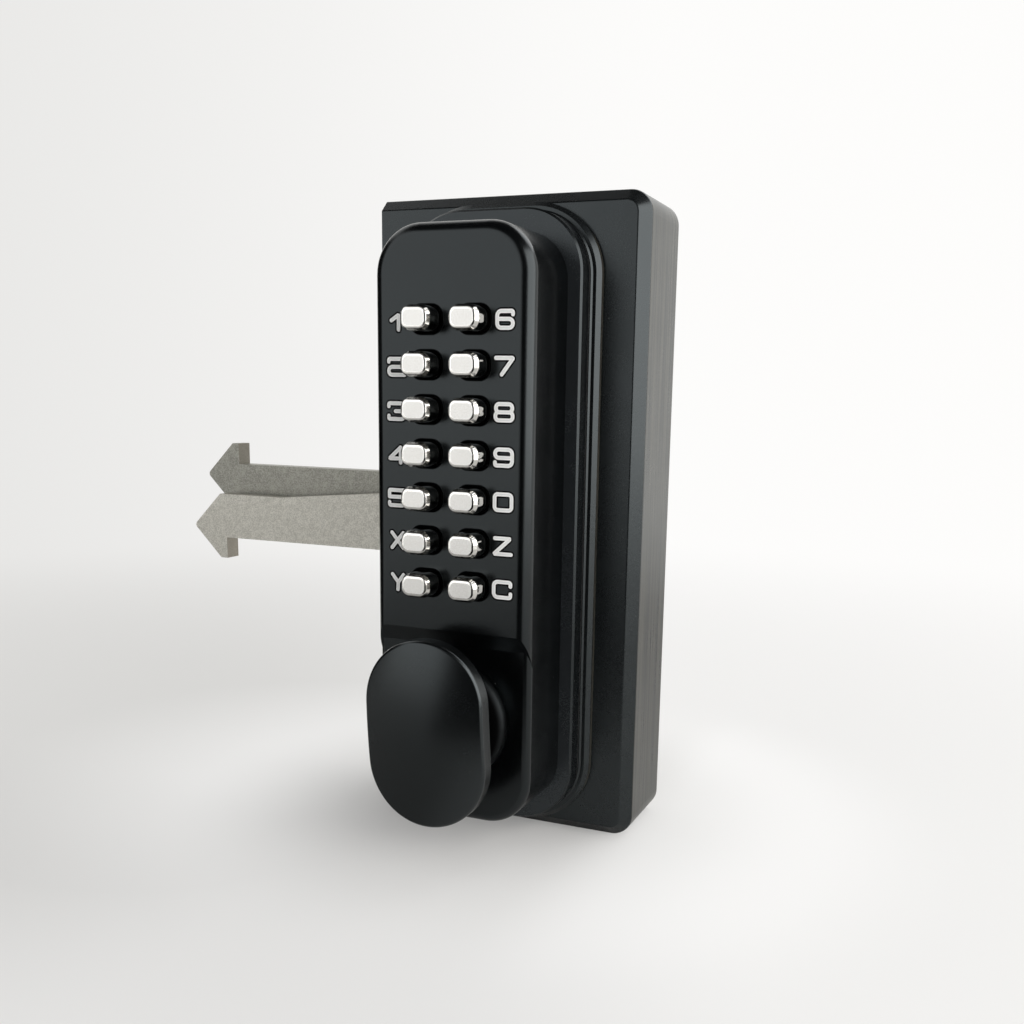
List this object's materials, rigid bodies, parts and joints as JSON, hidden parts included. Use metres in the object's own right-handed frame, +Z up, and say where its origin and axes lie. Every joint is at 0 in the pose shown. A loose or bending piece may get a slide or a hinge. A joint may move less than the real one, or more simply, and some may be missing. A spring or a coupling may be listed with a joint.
{
  "type": "keypad gate lock",
  "caption": "Keypad gate lock: a box lock for a gate's edge with push buttons and a turning knob that pinches its hook bolts together to free them from a keep.",
  "frame": {"origin": "centre of the two fixing holes in the left, gate-side face of the lock case, at the middle of its depth and height", "axes": "+X away from the gate, across the keypad from left to right; +Y from the keypad towards the back cover; +Z up"},
  "size_m": [0.1773, 0.0866, 0.203],
  "materials": {
    "case_black": "fine black powder coat; the right side shows fine upright brushing under a thin coat",
    "keypad_black": "satin black powder coat on a die casting",
    "knob_black": "smooth satin black coat",
    "button_chrome": "satin face with polished edges",
    "hook_steel": "tumbled stainless steel with a fine mottled grain",
    "gasket_rubber": "matt black foam rubber",
    "screw_steel": "zinc plated",
    "spring_steel": "bright steel",
    "chamber_brass": "machined brass",
    "bush_brass": "sintered bronze bearing"
  },
  "bodies": {
    "lock": {"case_body": "case_black", "back_cover": "case_black", "cover_screws": "screw_steel", "keypad_housing": "keypad_black", "base_plate": "keypad_black", "gasket": "gasket_rubber", "keypad_screws": "screw_steel", "code_chamber": "chamber_brass", "chamber_lid": "spring_steel", "chamber_screws": "screw_steel", "knob_bush": "bush_brass", "hook_pin": "spring_steel", "hook_spacers": "bush_brass", "button_spring_1": "spring_steel", "button_spring_2": "spring_steel", "button_spring_3": "spring_steel", "button_spring_4": "spring_steel", "button_spring_5": "spring_steel", "button_spring_x": "spring_steel", "button_spring_y": "spring_steel", "button_spring_6": "spring_steel", "button_spring_7": "spring_steel", "button_spring_8": "spring_steel", "button_spring_9": "spring_steel", "button_spring_0": "spring_steel", "button_spring_z": "spring_steel", "button_spring_c": "spring_steel", "lock_plate_spring": "spring_steel", "hook_spring": "spring_steel", "knob_spring": "spring_steel"},
    "knob_and_spindle": {"knob": "knob_black", "spindle": "spring_steel", "retaining_clip": "spring_steel", "lock_plate_cam": "spring_steel", "drive_crank": "spring_steel"},
    "link": {"link_rod": "spring_steel"},
    "cam": {"centre_cam": "spring_steel"},
    "upper_hook": {"upper_hook": "hook_steel"},
    "lower_hook": {"lower_hook": "hook_steel"},
    "lock_plate": {"lock_plate": "chamber_brass"},
    "button_1": {"button_1": "button_chrome"},
    "button_2": {"button_2": "button_chrome"},
    "button_3": {"button_3": "button_chrome"},
    "button_4": {"button_4": "button_chrome"},
    "button_5": {"button_5": "button_chrome"},
    "button_x": {"button_x": "button_chrome"},
    "button_y": {"button_y": "button_chrome"},
    "button_6": {"button_6": "button_chrome"},
    "button_7": {"button_7": "button_chrome"},
    "button_8": {"button_8": "button_chrome"},
    "button_9": {"button_9": "button_chrome"},
    "button_0": {"button_0": "button_chrome"},
    "button_z": {"button_z": "button_chrome"},
    "button_c": {"button_c": "button_chrome"}
  },
  "joints": [
    {"name": "knob_turn", "type": "hinge", "parent": "lock", "child": "knob_and_spindle", "pos_m": [0.04425, 0, -0.057], "axis": [0, 1, 0], "range_deg": [0, 60], "stiffness_Nm_per_rad": 0.25, "springref_deg": -17.19, "deforming": ["knob_spring"]},
    {"name": "link_swing", "type": "hinge", "parent": "knob_and_spindle", "child": "link", "pos_m": [0.05464, 0, -0.051], "axis": [0, 1, 0], "range_deg": [-60, 0]},
    {"name": "cam_turn", "type": "hinge", "parent": "lock", "child": "cam", "pos_m": [0.058, 0, -0.0004], "axis": [0, 1, 0], "range_deg": [0, 60]},
    {"name": "upper_hook_swing", "type": "hinge", "parent": "lock", "child": "upper_hook", "pos_m": [0.03, 0, -0.0004], "axis": [0, 1, 0], "range_deg": [-5.5, 0]},
    {"name": "lower_hook_swing", "type": "hinge", "parent": "lock", "child": "lower_hook", "pos_m": [0.03, 0, -0.0004], "axis": [0, 1, 0], "range_deg": [0, 5.5], "deforming": ["hook_spring"]},
    {"name": "lock_plate_slide", "type": "slide", "parent": "lock", "child": "lock_plate", "axis": [0, 0, 1], "range_m": [0, 0.0032], "deforming": ["lock_plate_spring"]},
    {"name": "button_1_press", "type": "slide", "parent": "lock", "child": "button_1", "axis": [0, 1, 0], "range_m": [0, 0.0035], "stiffness_N_per_m": 250, "springref_m": -0.003, "deforming": ["button_spring_1"]},
    {"name": "button_2_press", "type": "slide", "parent": "lock", "child": "button_2", "axis": [0, 1, 0], "range_m": [0, 0.0035], "stiffness_N_per_m": 250, "springref_m": -0.003, "deforming": ["button_spring_2"]},
    {"name": "button_3_press", "type": "slide", "parent": "lock", "child": "button_3", "axis": [0, 1, 0], "range_m": [0, 0.0035], "stiffness_N_per_m": 250, "springref_m": -0.003, "deforming": ["button_spring_3"]},
    {"name": "button_4_press", "type": "slide", "parent": "lock", "child": "button_4", "axis": [0, 1, 0], "range_m": [0, 0.0035], "stiffness_N_per_m": 250, "springref_m": -0.003, "deforming": ["button_spring_4"]},
    {"name": "button_5_press", "type": "slide", "parent": "lock", "child": "button_5", "axis": [0, 1, 0], "range_m": [0, 0.0035], "stiffness_N_per_m": 250, "springref_m": -0.003, "deforming": ["button_spring_5"]},
    {"name": "button_x_press", "type": "slide", "parent": "lock", "child": "button_x", "axis": [0, 1, 0], "range_m": [0, 0.0035], "stiffness_N_per_m": 250, "springref_m": -0.003, "deforming": ["button_spring_x"]},
    {"name": "button_y_press", "type": "slide", "parent": "lock", "child": "button_y", "axis": [0, 1, 0], "range_m": [0, 0.0035], "stiffness_N_per_m": 250, "springref_m": -0.003, "deforming": ["button_spring_y"]},
    {"name": "button_6_press", "type": "slide", "parent": "lock", "child": "button_6", "axis": [0, 1, 0], "range_m": [0, 0.0035], "stiffness_N_per_m": 250, "springref_m": -0.003, "deforming": ["button_spring_6"]},
    {"name": "button_7_press", "type": "slide", "parent": "lock", "child": "button_7", "axis": [0, 1, 0], "range_m": [0, 0.0035], "stiffness_N_per_m": 250, "springref_m": -0.003, "deforming": ["button_spring_7"]},
    {"name": "button_8_press", "type": "slide", "parent": "lock", "child": "button_8", "axis": [0, 1, 0], "range_m": [0, 0.0035], "stiffness_N_per_m": 250, "springref_m": -0.003, "deforming": ["button_spring_8"]},
    {"name": "button_9_press", "type": "slide", "parent": "lock", "child": "button_9", "axis": [0, 1, 0], "range_m": [0, 0.0035], "stiffness_N_per_m": 250, "springref_m": -0.003, "deforming": ["button_spring_9"]},
    {"name": "button_0_press", "type": "slide", "parent": "lock", "child": "button_0", "axis": [0, 1, 0], "range_m": [0, 0.0035], "stiffness_N_per_m": 250, "springref_m": -0.003, "deforming": ["button_spring_0"]},
    {"name": "button_z_press", "type": "slide", "parent": "lock", "child": "button_z", "axis": [0, 1, 0], "range_m": [0, 0.0035], "stiffness_N_per_m": 250, "springref_m": -0.003, "deforming": ["button_spring_z"]},
    {"name": "button_c_press", "type": "slide", "parent": "lock", "child": "button_c", "axis": [0, 1, 0], "range_m": [0, 0.0035], "stiffness_N_per_m": 250, "springref_m": -0.003, "deforming": ["button_spring_c"]}
  ],
  "couplings": [
    {"joint": "link_swing", "follows": "knob_turn", "ratio": -1},
    {"joint": "cam_turn", "follows": "knob_turn", "ratio": 1},
    {"joint": "upper_hook_swing", "follows": "knob_turn", "ratio": -0.09166},
    {"joint": "lower_hook_swing", "follows": "knob_turn", "ratio": 0.09166},
    {"joint": "lock_plate_slide", "follows": "knob_turn", "m_per_rad": 0.003055}
  ]
}
